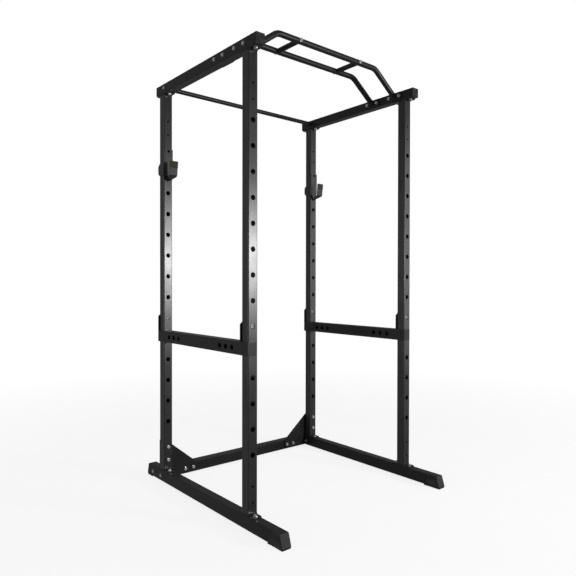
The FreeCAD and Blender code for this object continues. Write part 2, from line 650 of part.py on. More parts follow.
def make_hook_cradle(x):
    """J-hook seat and leaning front lip, folded from one plate that tapers to its root."""
    root = V(0, HOOK_FACE_Y, HOOK_Z - SEAT_ROOT)
    foot = V(0, lip_outer(SEAT_DROP), HOOK_Z - SEAT_DROP)
    crest = V(0, lip_outer(LIP_TOP), HOOK_Z - LIP_TOP)
    run = (foot - root).normalize()
    rise = (crest - foot).normalize()
    n1 = V(0, run.z, -run.y)
    n2 = V(0, rise.z, -rise.y)
    bend = foot + (n1 + n2) * (HOOK_PLATE / (1.0 + n1.dot(n2)))
    root_top = bend.z + (root.y - bend.y) * run.z / run.y
    outline = [(root.y, root.z), (foot.y, foot.z), (crest.y, crest.z),
               (crest.y + LIP_WALL, crest.z), (bend.y, bend.z), (root.y, root_top)]
    plate = prism_x(outline, x - CRADLE_HALF, x + CRADLE_HALF)
    plate = round_fold(plate, foot.y, foot.z, FOLD_R + HOOK_PLATE)
    plate = round_fold(plate, bend.y, bend.z, FOLD_R)
    full = foot.y + 2 * HOOK_PLATE
    w = CRADLE_HALF
    corners = [(x - w, crest.y - 1), (x + w, crest.y - 1), (x + w, full),
               (x + SEAT_ROOT_HALF, root.y), (x - SEAT_ROOT_HALF, root.y), (x - w, full)]
    points = [V(px, py, root.z - 1) for px, py in corners]
    plan = Part.Face(Part.makePolygon(points + points[:1]))
    return plate.common(plan.extrude(V(0, 0, SEAT_ROOT))).removeSplitter()


def make_hook_peg(x):
    """Peg of a J-hook, through both walls of the upright."""
    y0 = HOOK_FACE_Y
    y1 = REAR_Y + HALF + PEG_OUT
    peg = rod(PEG_D / 2, (x, y0, HOOK_Z), (x, y1 - 3.0, HOOK_Z))
    nose = Part.makeCone(PEG_D / 2, PEG_D / 2 - 3.0, 3.0, V(x, y1 - 3.0, HOOK_Z), V(0, 1, 0))
    recess = rod(PEG_RECESS_D / 2, (x, y0 - 1, HOOK_Z), (x, y0 + 20.0, HOOK_Z))
    return peg.fuse(nose).cut(recess).removeSplitter()


def make_hook_pad(x):
    """Rubber sleeve over the leaning front lip of a J-hook."""
    w = CRADLE_HALF
    crown = LIP_TOP - PAD_T
    outer = [(lip_outer(PAD_LOW) - PAD_T, HOOK_Z - PAD_LOW), (lip_outer(crown) - PAD_T, HOOK_Z - crown),
             (lip_outer(crown) + LIP_WALL + PAD_T, HOOK_Z - crown),
             (lip_outer(PAD_LOW) + LIP_WALL + PAD_T, HOOK_Z - PAD_LOW)]
    core = [(lip_outer(PAD_LOW + 1), HOOK_Z - PAD_LOW - 1), (lip_outer(LIP_TOP), HOOK_Z - LIP_TOP),
            (lip_outer(LIP_TOP) + LIP_WALL, HOOK_Z - LIP_TOP),
            (lip_outer(PAD_LOW + 1) + LIP_WALL, HOOK_Z - PAD_LOW - 1)]
    sleeve = prism_x(outer, x - w - PAD_T, x + w + PAD_T)
    return sleeve.cut(prism_x(core, x - w, x + w))


def make_rail_tube(x):
    """Safety-rail tube, in line with the uprights."""
    y0 = FRONT_Y + HALF + MOVE_GAP + HOOK_PLATE
    y1 = REAR_Y - HALF - MOVE_GAP
    x0 = x - HALF - MOVE_GAP
    tube = box_tube(x0, x0 + TUBE, y0, y1, RAIL_LOW_Z, RAIL_TOP_Z, V(0, 1, 0))
    return tube.cut(rail_holes(x))


def rail_holes(x):
    """Row of round holes near each end of a safety rail, through its outer side."""
    z = (RAIL_LOW_Z + RAIL_TOP_Z) / 2
    cuts = []
    for k in range(SLOT_COUNT):
        reach = SLOT_FIRST + k * SLOT_PITCH
        for y in (REAR_Y - reach, FRONT_Y + reach):
            cuts.append(rod(SLOT_D / 2, (x - TUBE, y, z), (x, y, z)))
    return cuts


def make_rail_face(x):
    """Long outer plate of a safety rail, folded round the front upright as a lip."""
    x1 = x - HALF - MOVE_GAP
    x0 = x1 - HOOK_PLATE
    y0 = FRONT_Y - HALF - MOVE_GAP - HOOK_PLATE
    y1 = REAR_Y + HALF + MOVE_GAP
    web = block(x0, x1, y0, y1, RAIL_LOW_Z, RAIL_TOP_Z)
    lip = block(x0, x - HALF + LIP_REACH, y0, y0 + HOOK_PLATE, RAIL_LOW_Z, RAIL_TOP_Z)
    return web.fuse(lip).cut(rail_holes(x)).removeSplitter()


def make_pin_plate(x, y0):
    """Plate behind an upright that stands above the rail and carries the locking pin."""
    x0 = x - HALF - MOVE_GAP - HOOK_PLATE
    x1 = x + HALF - MOVE_GAP
    c = PIN_PLATE_CUT
    outline = [(x0, RAIL_LOW_Z), (x1, RAIL_LOW_Z), (x1, PIN_PLATE_TOP_Z - c), (x1 - c, PIN_PLATE_TOP_Z),
               (x0 + c, PIN_PLATE_TOP_Z), (x0, PIN_PLATE_TOP_Z - c)]
    plate = prism_y(outline, y0, y0 + HOOK_PLATE)
    return plate.cut(rod(HOLE_D / 2, (x, y0 - 1, PIN_Z), (x, y0 + HOOK_PLATE + 1, PIN_Z)))


def make_front_pin_plate(x):
    """Pin plate at the front upright, trimmed round the rail's outer plate."""
    plate = make_pin_plate(x, FRONT_Y + HALF + MOVE_GAP)
    x1 = x - HALF - MOVE_GAP
    notch = block(x1 - TUBE, x1, FRONT_Y, FRONT_Y + TUBE + HALF, RAIL_LOW_Z - 1, RAIL_TOP_Z)
    return plate.cut(notch)


def make_locking_pin(x, post_y):
    """Locking pin: its tip is just inside the front of the upright, its knob is behind."""
    tip = post_y - HALF + PIN_RECESS
    seat = post_y + HALF + 2 * MOVE_GAP + HOOK_PLATE
    pin = rod(PEG_D / 2, (x, tip + 1.5, PIN_Z), (x, seat + 1.0, PIN_Z))
    nose = Part.makeCone(PEG_D / 2 - 1.5, PEG_D / 2, 1.5, V(x, tip, PIN_Z), V(0, 1, 0))
    knob = rod(PIN_HEAD_D / 2, (x, seat, PIN_Z), (x, seat + PIN_HEAD_T, PIN_Z))
    rims = [edge for edge in knob.Edges if edge.Curve.TypeId == "Part::GeomCircle"]
    knob = knob.makeFillet(1.5, rims)
    return pin.fuse([nose, knob]).removeSplitter()


def save(shape, node):
    """Write one node as STEP."""
    shape.exportStep("parts/" + node + ".step")


def main():
    os.makedirs("parts", exist_ok=True)
    for name, x, y in post_centres():
        save(make_upright(x, y), name + "_upright")
    save(make_end_plates(POST_LOW_Z - PLATE), "upright_foot_plates")
    save(make_end_plates(POST_HIGH_Z), "upright_head_plates")
    save(make_post_bolts(), "upright_bolts")
    save(make_post_nuts(), "upright_weld_nuts")
    for side, sign in SIDES:
        x = sign * POST_X
        save(make_runner(x), side + "_runner")
        save(make_front_foot(x), side + "_front_foot_cap")
        save(make_rear_foot(x), side + "_rear_foot_cap")
        save(make_gusset(sign), side + "_gusset")
        save(make_top_rail(x), side + "_top_rail")
        save(make_cross_grip(sign * GRIP_X), side + "_cross_grip")
        save(make_hook_plate(x), side + "_hook_plate")
        save(make_hook_cradle(x), side + "_hook_cradle")
        save(make_hook_peg(x), side + "_hook_peg")
        save(make_hook_pad(x), side + "_hook_pad")
        save(make_rail_tube(x), side + "_safety_rail_tube")
        save(make_rail_face(x), side + "_safety_rail_face")
        save(make_pin_plate(x, REAR_Y + HALF + MOVE_GAP), side + "_rear_pin_plate")
        save(make_front_pin_plate(x), side + "_front_pin_plate")
        save(make_locking_pin(x, REAR_Y), side + "_rear_locking_pin")
        save(make_locking_pin(x, FRONT_Y), side + "_front_locking_pin")
    save(make_cross_member(), "rear_cross_member")
    save(make_cross_flanges(), "cross_member_flanges")
    save(make_cross_member_bolts(), "cross_member_bolts")
    save(make_cross_member_nuts(), "cross_member_nuts")
    save(make_gusset_bolts(), "gusset_bolts")
    save(make_gusset_nuts(), "gusset_nuts")
    save(make_rail_caps(), "top_rail_caps")
    save(make_pull_up_bar(BAR_FRONT_Y), "front_pull_up_bar")
    save(make_pull_up_bar(BAR_REAR_Y), "rear_pull_up_bar")
    save(make_bar_plates(), "pull_up_bar_plates")
    save(make_bar_bolts(), "pull_up_bar_bolts")
    save(make_bar_nuts(), "pull_up_bar_nuts")
    save(make_grip_bolts(), "cross_grip_bolts")
    save(make_crossbar(), "rear_crossbar")
    save(make_crossbar_plugs(), "crossbar_plugs")
    save(make_crossbar_bolts(), "crossbar_bolts")


main()
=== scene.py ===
"""Looks of the training cage: finishes, weld runs, caps, pads, pins, studio and camera.

Everything is in metres in the frame's own axes: +Z up, the open front towards -Y.
"""

from __future__ import annotations

import json
import logging
import math
from dataclasses import dataclass, field
from enum import Enum
from typing import Sequence

import bpy
import numpy as np
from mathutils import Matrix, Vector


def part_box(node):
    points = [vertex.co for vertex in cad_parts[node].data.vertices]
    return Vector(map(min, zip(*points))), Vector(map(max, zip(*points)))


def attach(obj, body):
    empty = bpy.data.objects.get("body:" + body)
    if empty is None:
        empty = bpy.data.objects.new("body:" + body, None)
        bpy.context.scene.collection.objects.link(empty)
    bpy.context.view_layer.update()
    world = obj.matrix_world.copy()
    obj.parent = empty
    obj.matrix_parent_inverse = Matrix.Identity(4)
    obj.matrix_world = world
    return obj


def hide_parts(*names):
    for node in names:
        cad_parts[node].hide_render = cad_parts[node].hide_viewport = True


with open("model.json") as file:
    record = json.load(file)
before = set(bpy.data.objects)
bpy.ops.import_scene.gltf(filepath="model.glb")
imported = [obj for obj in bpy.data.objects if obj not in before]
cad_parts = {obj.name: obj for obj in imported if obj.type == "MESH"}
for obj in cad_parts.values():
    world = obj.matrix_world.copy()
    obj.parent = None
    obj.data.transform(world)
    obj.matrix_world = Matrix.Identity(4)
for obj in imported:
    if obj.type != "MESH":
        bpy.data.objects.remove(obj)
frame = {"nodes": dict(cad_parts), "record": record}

LOG = logging.getLogger("training_cage")
MM = 0.001
RIB_PITCH = 7.0 * MM


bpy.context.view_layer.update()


class Slot(Enum):
    """The finishes that the record names."""

    POWDER = "black_powder_coat"
    ZINC = "zinc_plated_steel"
    PIN_STEEL = "bare_steel_pin"
    PLAIN_STEEL = "plain_steel"
    PLASTIC = "black_plastic"
    RUBBER = "dark_olive_rubber"


# ---------------------------------------------------------------- surfaces


def grid_mesh(name: str, points: np.ndarray, ring: bool = False) -> bpy.types.Object:
    """Make a closed mesh from a grid of points.

    Rows run along the piece and columns run round it. Cell (i, j) is the quad
    (i, j), (i, j+1), (i+1, j+1), (i+1, j), and columns always wrap. With ring
    the rows wrap as well, and otherwise each end row gets a fan to its middle.
    Volume = sum of a . (b x c) / 6 over the triangles gives the sense, and a
    negative one turns every face round.

    Args:
        name: Name of the object.
        points: Array of shape (rows, columns, 3).
        ring: True if the last row joins the first.

    Returns:
        The new object, at the origin.
    """
    rows, columns = points.shape[:2]
    vertices = points.reshape(-1, 3)
    number = np.arange(rows * columns).reshape(rows, columns)
    lower = number if ring else number[:-1]
    upper = np.roll(number, -1, 0) if ring else number[1:]
    quads = np.stack([lower, np.roll(lower, -1, 1), np.roll(upper, -1, 1), upper], -1).reshape(-1, 4)
    fans = np.zeros((0, 3), int)
    if not ring:
        middles = np.stack([points[0].mean(0), points[-1].mean(0)])
        first, last = number[0], number[-1]
        start = np.full(columns, len(vertices))
        fans = np.concatenate([
            np.stack([start, np.roll(first, -1), first], -1),
            np.stack([start + 1, last, np.roll(last, -1)], -1),
        ])
        vertices = np.concatenate([vertices, middles])
    triangles = np.concatenate([quads[:, [0, 1, 2]], quads[:, [0, 2, 3]], fans])
    a, b, c = (vertices[triangles[:, k]] for k in range(3))
    if np.einsum("ij,ij->", a, np.cross(b, c)) < 0.0:
        quads, fans = quads[:, ::-1], fans[:, ::-1]
    mesh = bpy.data.meshes.new(name)
    mesh.from_pydata(vertices.tolist(), [], quads.tolist() + fans.tolist())
    mesh.polygons.foreach_set("use_smooth", np.ones(len(mesh.polygons), bool))
    mesh.set_sharp_from_angle(angle=math.radians(40.0))
    mesh.update()
    piece = bpy.data.objects.new(name, mesh)
    bpy.context.scene.collection.objects.link(piece)
    return piece


def rounded_section(
    half_a: np.ndarray, half_b: np.ndarray, radius: np.ndarray, per_corner: int = 8
) -> tuple[np.ndarray, np.ndarray]:
    """Rounded rectangles, one to a row.

    a(u) = sa(u) (A - r) + r cos(phi(u)) and b(u) = sb(u) (B - r) + r sin(phi(u)),
    where phi turns a quarter at each corner and sa, sb are that corner's signs.

    Args:
        half_a: Half width A of each row.
        half_b: Half height B of each row.
        radius: Corner radius r of each row.
        per_corner: Points on each corner.

    Returns:
        The two coordinates, each of shape (rows, 4 * per_corner).
    """
    quarter = np.repeat(np.arange(4), per_corner)
    phi = quarter * math.pi / 2 + np.tile(np.linspace(0.0, math.pi / 2, per_corner), 4)
    sign_a = np.where((quarter == 0) | (quarter == 3), 1.0, -1.0)
    sign_b = np.where(quarter < 2, 1.0, -1.0)
    r = np.minimum(radius, np.minimum(half_a, half_b))[:, None]
    return (
        sign_a * (half_a[:, None] - r) + r * np.cos(phi),
        sign_b * (half_b[:, None] - r) + r * np.sin(phi),
    )


def even_steps(loop: np.ndarray, count: int, closed: bool) -> np.ndarray:
    """Points at even steps along a line: p(s) between the given points by distance s.

    Args:
        loop: Points of shape (n, 3).
        count: Number of points wanted.
        closed: True if the last point joins the first.

    Returns:
        Array of shape (count, 3).
    """
    line = np.concatenate([loop, loop[:1]]) if closed else loop
    run = np.concatenate([[0.0], np.cumsum(np.linalg.norm(np.diff(line, axis=0), axis=1))])
    steps = np.linspace(0.0, run[-1], count, endpoint=not closed)
    return np.stack([np.interp(steps, run, line[:, k]) for k in range(3)], -1)


def weld_bead(
    name: str, path: np.ndarray, normal: Sequence[float], radius: float, closed: bool = True
) -> bpy.types.Object:
    """Rippled bead along a flat path.

    p(s, t) = path(s) + r(s) (cos t N + sin t (T x N)), with T the path's
    direction, N the plane's normal and r(s) = R (1 + 0.14 |sin(pi s / step)|),
    the round scales that a welder's steps leave. An open bead's ends taper as
    sqrt(1 - w^2) over one radius.

    Args:
        name: Name of the object.
        path: Points of shape (n, 3), in order.
        normal: Normal of the plane that the path lies in.
        radius: Radius R of the bead.
        closed: True for a loop.

    Returns:
        The new object.
    """
    whole = np.concatenate([path, path[:1]]) if closed else path
    length = float(np.linalg.norm(np.diff(whole, axis=0), axis=1).sum())
    scales = max(6, round(length / (3.4 * MM)))
    points = even_steps(path, scales * 4, closed)
    if closed:
        tangent = np.roll(points, -1, 0) - np.roll(points, 1, 0)
    else:
        tangent = np.gradient(points, axis=0)
    tangent /= np.linalg.norm(tangent, axis=1, keepdims=True)
    across = np.cross(tangent, np.array(normal, float))
    step = np.arange(len(points)) / 4.0
    size = radius * (1.0 + 0.14 * np.abs(np.sin(math.pi * step)))
    if not closed:
        far = np.minimum(step, step[-1] - step) / max(1.0, radius / (3.4 * MM))
        size = size * np.sqrt(np.clip(1.0 - (1.0 - np.clip(far, 0.06, 1.0)) ** 2, 0.0, 1.0))
    turn = np.linspace(0.0, 2 * math.pi, 10, endpoint=False)[None, :, None]
    grid = points[:, None] + size[:, None, None] * (
        np.cos(turn) * np.array(normal, float) + np.sin(turn) * across[:, None]
    )
    return grid_mesh(name, grid, ring=closed)


# ---------------------------------------------------------------- finishes


class Shader:
    """A material's node tree, with short ways to add and join nodes."""

    def __init__(self, name: str) -> None:
        """Start a material with one principled shader.

        Args:
            name: Name of the material.
        """
        self.material = bpy.data.materials.new(name)
        self.material.use_nodes = True
        self.tree = self.material.node_tree
        self.surface = next(n for n in self.tree.nodes if n.type == "BSDF_PRINCIPLED")
        self.place = self.add("ShaderNodeTexCoord").outputs["Object"]

    def add(self, kind: str, **settings: object) -> bpy.types.Node:
        """Add a node and set its properties.

        Args:
            kind: Blender's name of the node type.
            settings: Properties by name.

        Returns:
            The node.
        """
        node = self.tree.nodes.new(kind)
        for key, value in settings.items():
            setattr(node, key, value)
        return node

    def join(self, source: bpy.types.NodeSocket, target: bpy.types.NodeSocket) -> None:
        """Link two sockets."""
        self.tree.links.new(source, target)

    def fix(self, **values: object) -> None:
        """Set constants on the shader's own sockets, with _ for each space."""
        for key, value in values.items():
            self.surface.inputs[key.replace("_", " ")].default_value = value

    def noise(
        self, scale: float, detail: float = 2.0, stretch: Sequence[float] = (1.0, 1.0, 1.0), shift: float = 0.0
    ) -> bpy.types.NodeSocket:
        """Noise on object coordinates.

        Args:
            scale: Cells to a metre.
            detail: Octaves.
            stretch: Scale along each axis.
            shift: Offset that makes two noises of a scale differ.

        Returns:
            The noise's value, around 0.5.
        """
        mapping = self.add("ShaderNodeMapping")
        mapping.inputs["Scale"].default_value = stretch
        mapping.inputs["Location"].default_value = (shift, 0.7 * shift, 0.4 * shift)
        self.join(self.place, mapping.inputs["Vector"])
        noise = self.add("ShaderNodeTexNoise")
        noise.inputs["Scale"].default_value = scale
        noise.inputs["Detail"].default_value = detail
        self.join(mapping.outputs["Vector"], noise.inputs["Vector"])
        return noise.outputs["Fac"]

    def spread(
        self, value: bpy.types.NodeSocket, low: float, high: float, start: float = 0.3, end: float = 0.7
    ) -> bpy.types.NodeSocket:
        """Map a value from start..end to low..high.

        Args:
            value: The socket to map.
            low: Result at start.
            high: Result at end.
            start: Low end of the input.
            end: High end of the input.

        Returns:
            The mapped socket, clamped.
        """
        node = self.add("ShaderNodeMapRange")
        for key, number in (("From Min", start), ("From Max", end), ("To Min", low), ("To Max", high)):
            node.inputs[key].default_value = number
        self.join(value, node.inputs["Value"])
        return node.outputs["Result"]

    def tint(self, value: bpy.types.NodeSocket, *stops: tuple[float, Sequence[float]]) -> bpy.types.NodeSocket:
        """Colour ramp through the stops.

        Args:
            value: Socket that runs along the ramp.
            stops: A place from 0 to 1 and a colour, for each stop.

        Returns:
            The colour socket.
        """
        ramp = self.add("ShaderNodeValToRGB")
        elements = ramp.color_ramp.elements
        while len(elements) < len(stops):
            elements.new(0.5)
        for element, (position, colour) in zip(elements, stops):
            element.position = position
            element.color = (*colour, 1.0)
        self.join(value, ramp.inputs["Fac"])
        return ramp.outputs["Color"]

    def mix(
        self, factor: bpy.types.NodeSocket, first: bpy.types.NodeSocket, second: Sequence[float] | bpy.types.NodeSocket
    ) -> bpy.types.NodeSocket:
        """Mix two colours by a factor.

        Args:
            factor: 0 for the first, 1 for the second.
            first: A colour socket.
            second: A colour, or a colour socket.

        Returns:
            The mixed colour.
        """
        node = self.add("ShaderNodeMix", data_type="RGBA")
        self.join(factor, node.inputs["Factor"])
        self.join(first, node.inputs["A"])
        if isinstance(second, bpy.types.NodeSocket):
            self.join(second, node.inputs["B"])
        else:
            node.inputs["B"].default_value = (*second, 1.0)
        return node.outputs["Result"]

    def edges(self, reach: float) -> bpy.types.NodeSocket:
        """Mask that is 1 on sharp edges: 1 - n . n', with n' the rounded normal.

        Args:
            reach: Radius over which the normal is rounded, in metres.

        Returns:
            The mask socket.
        """
        soft = self.add("ShaderNodeBevel", samples=4)
        soft.inputs["Radius"].default_value = reach
        sharp = self.add("ShaderNodeNewGeometry")
        dot = self.add("ShaderNodeVectorMath", operation="DOT_PRODUCT")
        self.join(soft.outputs["Normal"], dot.inputs[0])
        self.join(sharp.outputs["Normal"], dot.inputs[1])
        return self.spread(dot.outputs["Value"], 1.0, 0.0, 0.72, 0.97)

    def relief(self, *layers: tuple[bpy.types.NodeSocket, float, float]) -> None:
        """Chain bump layers into the shader.

        Args:
            layers: A height socket, a strength and a depth in metres, for each layer.
        """
        normal = None
        for height, strength, depth in layers:
            bump = self.add("ShaderNodeBump")
            bump.inputs["Strength"].default_value = strength
            bump.inputs["Distance"].default_value = depth
            self.join(height, bump.inputs["Height"])
            if normal is not None:
                self.join(normal, bump.inputs["Normal"])
            normal = bump.outputs["Normal"]
        self.join(normal, self.surface.inputs["Normal"])


@dataclass(frozen=True)
class PowderCoat:
    """Satin black powder coat: fine orange peel, cloudy gloss, rubbed edges and duller hook lips."""

    name: str = "satin_powder_coat"
    slot: Slot = Slot.POWDER
    shine: float = 0.5
    deep: tuple[float, float, float] = (0.0105, 0.0108, 0.0115)
    pale: tuple[float, float, float] = (0.0165, 0.017, 0.018)
    rubbed: tuple[float, float, float] = (0.060, 0.061, 0.063)
    gloss: tuple[float, float] = (0.27, 0.34)
    lip_gloss: float = 0.58
    lip_y: tuple[float, float] = (0.3475, 0.0125)
    lip_z: tuple[float, float] = (1.705, 0.055)

    def make(self) -> bpy.types.Material:
        """Build the material.

        Returns:
            The powder coat.
        """
        s = Shader(self.name)
        cloud = s.noise(7.0, 4.0)
        peel = s.noise(520.0, 1.5)
        grit = s.noise(1500.0, 1.0, shift=3.1)
        worn = s.add("ShaderNodeMath", operation="MULTIPLY")
        s.join(s.edges(1.4 * MM), worn.inputs[0])
        s.join(s.spread(s.noise(60.0, 3.0, shift=1.7), 0.05, 0.75), worn.inputs[1])
        coat = s.tint(cloud, (0.3, self.deep), (0.72, self.pale))
        speckled = s.mix(s.spread(grit, 0.0, 0.35, 0.5, 0.8), coat, (0.030, 0.031, 0.033))
        s.join(s.mix(worn.outputs["Value"], speckled, self.rubbed), s.surface.inputs["Base Color"])
        s.join(self.dull_lips(s, s.spread(cloud, *self.gloss)), s.surface.inputs["Roughness"])
        s.fix(Metallic=0.0, Specular_IOR_Level=self.shine)
        s.relief((peel, 0.22, 0.12 * MM), (grit, 0.12, 0.05 * MM))
        return s.material

    def dull_lips(self, s: Shader, gloss: bpy.types.NodeSocket) -> bpy.types.NodeSocket:
        """Make the coat duller on the hooks' leaning lips, which would otherwise mirror the key panel.

        Args:
            s: Shader under construction.
            gloss: Roughness everywhere else.

        Returns:
            The roughness.
        """
        split = s.add("ShaderNodeSeparateXYZ")
        s.join(s.place, split.inputs["Vector"])
        inside = []
        for axis, (middle, reach) in (("Y", self.lip_y), ("Z", self.lip_z)):
            near = s.add("ShaderNodeMath", operation="COMPARE")
            s.join(split.outputs[axis], near.inputs[0])
            near.inputs[1].default_value, near.inputs[2].default_value = middle, reach
            inside.append(near.outputs["Value"])
        both = s.add("ShaderNodeMath", operation="MULTIPLY")
        s.join(inside[0], both.inputs[0])
        s.join(inside[1], both.inputs[1])
        blend = s.add("ShaderNodeMix", data_type="FLOAT")
        s.join(both.outputs["Value"], blend.inputs["Factor"])
        s.join(gloss, blend.inputs["A"])
        blend.inputs["B"].default_value = self.lip_gloss
        return blend.outputs["Result"]


@dataclass(frozen=True)
class ZincPlate:
    """Bright zinc plate with faint blue and straw clouds."""

    slot: Slot = Slot.ZINC
    blue: tuple[float, float, float] = (0.56, 0.58, 0.61)
    straw: tuple[float, float, float] = (0.66, 0.645, 0.60)

    def make(self) -> bpy.types.Material:
        """Build the material.

        Returns:
            The zinc plate.
        """
        s = Shader(self.slot.value)
        cloud = s.noise(110.0, 3.0)
        s.join(s.tint(cloud, (0.35, self.blue), (0.68, self.straw)), s.surface.inputs["Base Color"])
        s.join(s.spread(s.noise(380.0, 2.0, shift=2.0), 0.28, 0.44), s.surface.inputs["Roughness"])
        s.fix(Metallic=1.0)
        s.relief((s.noise(900.0, 2.0), 0.15, 0.08 * MM))
        return s.material


@dataclass(frozen=True)
class TurnedSteel:
    """Steel turned on a lathe: fine rings along Y and a dull film."""

    slot: Slot = Slot.PIN_STEEL
    dark: tuple[float, float, float] = (0.095, 0.095, 0.098)
    light: tuple[float, float, float] = (0.20, 0.20, 0.205)
    rings_per_m: float = 420.0

    def make(self) -> bpy.types.Material:
        """Build the material.

        Returns:
            The turned steel.
        """
        s = Shader(self.slot.value)
        rings = s.add("ShaderNodeTexWave", bands_direction="Y")
        rings.inputs["Scale"].default_value = self.rings_per_m / 2.0
        rings.inputs["Distortion"].default_value = 0.6
        s.join(s.place, rings.inputs["Vector"])
        film = s.noise(90.0, 4.0)
        s.join(s.tint(film, (0.3, self.dark), (0.7, self.light)), s.surface.inputs["Base Color"])
        s.join(s.spread(film, 0.55, 0.40), s.surface.inputs["Roughness"])
        s.fix(Metallic=1.0)
        s.relief((rings.outputs["Fac"], 0.25, 0.05 * MM), (s.noise(700.0), 0.1, 0.05 * MM))
        return s.material


@dataclass(frozen=True)
class MouldedPlastic:
    """Matt black moulded plastic with a spark-eroded grain and scuffs."""

    slot: Slot = Slot.PLASTIC
    body: tuple[float, float, float] = (0.014, 0.014, 0.015)
    scuffed: tuple[float, float, float] = (0.040, 0.040, 0.041)

    def make(self) -> bpy.types.Material:
        """Build the material.

        Returns:
            The moulded plastic.
        """
        s = Shader(self.slot.value)
        scuff = s.noise(34.0, 5.0, stretch=(1.0, 0.25, 1.0))
        s.join(s.tint(scuff, (0.48, self.body), (0.78, self.scuffed)), s.surface.inputs["Base Color"])
        s.join(s.spread(scuff, 0.50, 0.62), s.surface.inputs["Roughness"])
        s.fix(Metallic=0.0, Specular_IOR_Level=0.22)
        s.relief((s.noise(1100.0, 2.0), 0.35, 0.10 * MM), (s.noise(30.0, 2.0), 0.1, 0.4 * MM))
        return s.material


@dataclass(frozen=True)
class PadRubber:
    """Dark olive moulded rubber with dusty speckle, and painted shade darkening the grooves between its ribs."""

    slot: Slot = Slot.RUBBER
    # Painted shade: the colour that the grooves between the ribs are darkened towards.
    groove: tuple[float, float, float] = (0.005, 0.005, 0.004)
    pad_foot: float = 1.721
    base: tuple[float, float, float] = (0.028, 0.029, 0.022)
    dusty: tuple[float, float, float] = (0.052, 0.054, 0.042)

    def make(self) -> bpy.types.Material:
        """Build the material.

        Returns:
            The rubber.
        """
        s = Shader(self.slot.value)
        dust = s.noise(260.0, 5.0)
        # Bands along Z, one to each rib, that paint shade into the grooves between the ribs.
        groove_shade_bands = s.add("ShaderNodeTexWave", bands_direction="Z")
        groove_shade_bands.inputs["Scale"].default_value = 2 * math.pi / (20.0 * RIB_PITCH)
        groove_shade_bands.inputs["Phase Offset"].default_value = -2 * math.pi * (self.pad_foot / RIB_PITCH % 1.0)
        s.join(s.place, groove_shade_bands.inputs["Vector"])
        rubber = s.tint(dust, (0.32, self.base), (0.70, self.dusty))
        # Painted shade: mix the rubber towards the groove colour between the ribs.
        between = s.spread(groove_shade_bands.outputs["Fac"], 0.0, 0.9, 0.4, 0.95)
        s.join(s.mix(between, rubber, self.groove), s.surface.inputs["Base Color"])
        s.join(s.spread(s.noise(70.0, 3.0), 0.62, 0.80), s.surface.inputs["Roughness"])
        s.fix(Metallic=0.0, Specular_IOR_Level=0.4, Sheen_Weight=0.06, Sheen_Roughness=0.5)
        s.relief((dust, 0.4, 0.15 * MM), (s.noise(1300.0, 1.0), 0.25, 0.06 * MM))
        return s.material


@dataclass(frozen=True)
class PlainSteel:
    """Machined steel of the tube plugs, oiled and a little blotchy."""

    slot: Slot = Slot.PLAIN_STEEL
    dark: tuple[float, float, float] = (0.26, 0.255, 0.25)
    light: tuple[float, float, float] = (0.42, 0.42, 0.42)

    def make(self) -> bpy.types.Material:
        """Build the material.

        Returns:
            The plain steel.
        """
        s = Shader(self.slot.value)
        oil = s.noise(60.0, 4.0)
        s.join(s.tint(oil, (0.3, self.dark), (0.7, self.light)), s.surface.inputs["Base Color"])
        s.join(s.spread(oil, 0.30, 0.45), s.surface.inputs["Roughness"])
        s.fix(Metallic=1.0)
        s.relief((s.noise(500.0, 2.0, stretch=(0.1, 1.0, 1.0)), 0.2, 0.05 * MM))
        return s.material


@dataclass
class PaintShop:
    """Makes each finish once and puts it on pieces."""

    made: dict[Slot, bpy.types.Material] = field(default_factory=dict)
    # A less shiny copy of the same black powder coat for the rails, base, bars and welds: its lower shine is a duller
    # finish, and its darker colour is painted shade.
    dull_shaded_coat: PowderCoat = PowderCoat(
        "dull_powder_coat", shine=0.24, gloss=(0.34, 0.42),
        deep=(0.0080, 0.0082, 0.0088), pale=(0.0125, 0.0128, 0.0135),
    )
    dull_shaded: bpy.types.Material | None = None
    satin_ends: tuple[str, ...] = ("_upright", "_hook_plate", "_hook_cradle", "_hook_peg")

    def open(self) -> None:
        """Make every finish."""
        for finish in (PowderCoat(), ZincPlate(), TurnedSteel(), MouldedPlastic(), PadRubber(), PlainSteel()):
            self.made[finish.slot] = finish.make()
        self.dull_shaded = self.dull_shaded_coat.make()

    def dress(self, piece: bpy.types.Object, slot: Slot) -> None:
        """Give a piece one finish; only the uprights and hooks have the satin coat, and the other powder-coated pieces
        get the duller copy whose darker colour is painted shade.

        Args:
            piece: Piece to dress.
            slot: Finish that its node names.
        """
        gets_dull_shaded = slot is Slot.POWDER and not piece.name.endswith(self.satin_ends)
        piece.data.materials.clear()
        piece.data.materials.append(self.dull_shaded if gets_dull_shaded else self.made[slot])

    def dress_frame(self) -> int:
        """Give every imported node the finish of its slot.

        Returns:
            The number of nodes dressed.
        """
        rows = frame["record"]["subparts"]
        for row in rows:
            self.dress(frame["nodes"][row["node"]], Slot(row["material_slot"]))
        return len(rows)


@dataclass
class Assembly:
    """Pieces that are made, dressed and hung on bodies together."""

    shop: PaintShop
    pieces: list[str] = field(default_factory=list)

    def settle(self, piece: bpy.types.Object, body: str, slot: Slot, stands_for: Sequence[str] = ()) -> None:
        """Dress a piece, hang it on its body, hide the nodes that it stands for and add it to the list of pieces.

        Args:
            piece: The new piece.
            body: Name of the body it rides on.
            slot: Its finish.
            stands_for: Nodes that it replaces.
        """
        self.shop.dress(piece, slot)
        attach(piece, body)
        if stands_for:
            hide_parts(*stands_for)
        self.pieces.append(piece.name)

    def report(self) -> None:
        """Log each piece that was made."""
        for name in self.pieces:
            LOG.info("%s made %s", type(self).__name__, name)


# ---------------------------------------------------------------- caps


